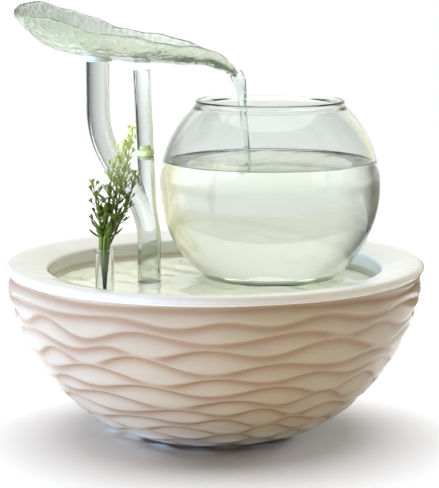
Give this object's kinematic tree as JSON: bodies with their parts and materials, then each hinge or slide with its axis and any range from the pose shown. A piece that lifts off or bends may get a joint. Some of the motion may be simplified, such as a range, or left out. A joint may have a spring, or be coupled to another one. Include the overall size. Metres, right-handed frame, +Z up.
{
  "type": "submersible pump tabletop fountain",
  "caption": "Tabletop water fountain: round ceramic basin with a hidden submersible pump, forked glass riser, swivelling glass leaf spout, round glass fish bowl and a planted vial.",
  "frame": {"origin": "centre of the basin's foot, on the surface that it stands on", "axes": "+Z up; -Y is the front; +X runs from the riser towards the fish bowl"},
  "size_m": [0.31, 0.3095, 0.317],
  "materials": {
    "basin_glaze": "glossy off-white glaze over carved waves",
    "tray_glaze": "satin off-white glaze",
    "clear_glass": "clear, polished",
    "green_glass": "pale green, cast with ribs",
    "clear_silicone": "milky silicone",
    "green_silicone": "yellow-green silicone",
    "black_rubber": "matt moulded rubber",
    "black_plastic": "fine moulded texture",
    "grey_plastic": "fine moulded texture",
    "white_plastic": "smooth natural nylon",
    "resin": "poured epoxy",
    "ferrite": "sintered ferrite",
    "shaft_ceramic": "ground alumina",
    "lamination_steel": "stacked laminations",
    "copper_wire": "enamelled copper winding",
    "stainless": "stainless screw",
    "foam": "open-cell filter foam",
    "stem_green": "moulded artificial stem",
    "foliage_green": "moulded artificial leaves"
  },
  "bodies": {
    "basin_and_pump": {"basin": "basin_glaze", "cable_grommet": "black_rubber", "pump_housing": "black_plastic", "pump_back_cover": "grey_plastic", "potting_resin": "resin", "pump_base_plate": "black_plastic", "base_screw_1": "stainless", "base_screw_2": "stainless", "suction_cup_1": "black_rubber", "suction_cup_2": "black_rubber", "suction_cup_3": "black_rubber", "suction_cup_4": "black_rubber", "stator_core": "lamination_steel", "bobbin_front": "white_plastic", "bobbin_rear": "white_plastic", "coil_front": "copper_wire", "coil_rear": "copper_wire", "rotor_shaft": "shaft_ceramic", "rear_bush": "black_rubber", "front_bush": "black_rubber", "volute_cover": "black_plastic", "volute_seal": "black_rubber", "cable_gland": "black_rubber", "riser_coupler": "clear_silicone"},
    "rotor": {"rotor_magnet": "ferrite", "impeller": "white_plastic"},
    "strainer": {"strainer_cover": "black_plastic", "filter_sponge": "foam"},
    "dial": {"flow_dial": "grey_plastic"},
    "tray_set": {"tray": "tray_glaze", "riser_grommet": "clear_silicone", "vial_grommet": "clear_silicone"},
    "bowl": {"fish_bowl": "clear_glass"},
    "vial": {"plant_vial": "clear_glass"},
    "plant": {"plant_stem": "stem_green", "plant_foliage": "foliage_green"},
    "riser": {"glass_riser": "clear_glass", "stopper_seal": "green_silicone", "stopper_tube": "clear_glass"},
    "swivel_seal": {"leaf_seal": "clear_silicone"},
    "leaf": {"leaf_spout": "green_glass"}
  },
  "joints": [
    {"name": "impeller_spin", "type": "hinge", "parent": "basin_and_pump", "child": "rotor", "pos_m": [-0.0485, -0.001, 0.046], "axis": [1, 0, 0], "continuous": true},
    {"name": "strainer_pull", "type": "slide", "parent": "basin_and_pump", "child": "strainer", "axis": [1, 0, 0], "range_m": [0, 0.03]},
    {"name": "flow_dial_turn", "type": "hinge", "parent": "strainer", "child": "dial", "pos_m": [-0.0485, -0.001, 0.043], "axis": [1, 0, 0], "range_deg": [0, 90]},
    {"name": "tray_lift", "type": "slide", "parent": "basin_and_pump", "child": "tray_set", "axis": [0, 0, 1], "range_m": [0, 0.12]},
    {"name": "fish_bowl_lift", "type": "slide", "parent": "tray_set", "child": "bowl", "axis": [0.8575, 0, 0.5145], "range_m": [0, 0.23]},
    {"name": "vial_lift", "type": "slide", "parent": "tray_set", "child": "vial", "axis": [0, 0, 1], "range_m": [0, 0.06]},
    {"name": "plant_lift", "type": "slide", "parent": "vial", "child": "plant", "axis": [0, 0, 1], "range_m": [0, 0.08]},
    {"name": "riser_lift", "type": "slide", "parent": "tray_set", "child": "riser", "axis": [0, 0, 1], "range_m": [0, 0.03]},
    {"name": "leaf_swivel", "type": "hinge", "parent": "riser", "child": "swivel_seal", "pos_m": [-0.0857, 0.005, 0.275], "axis": [0, 0, 1], "range_deg": [-12, 25]},
    {"name": "leaf_lift", "type": "slide", "parent": "swivel_seal", "child": "leaf", "axis": [0, 0, 1], "range_m": [0, 0.03]}
  ]
}
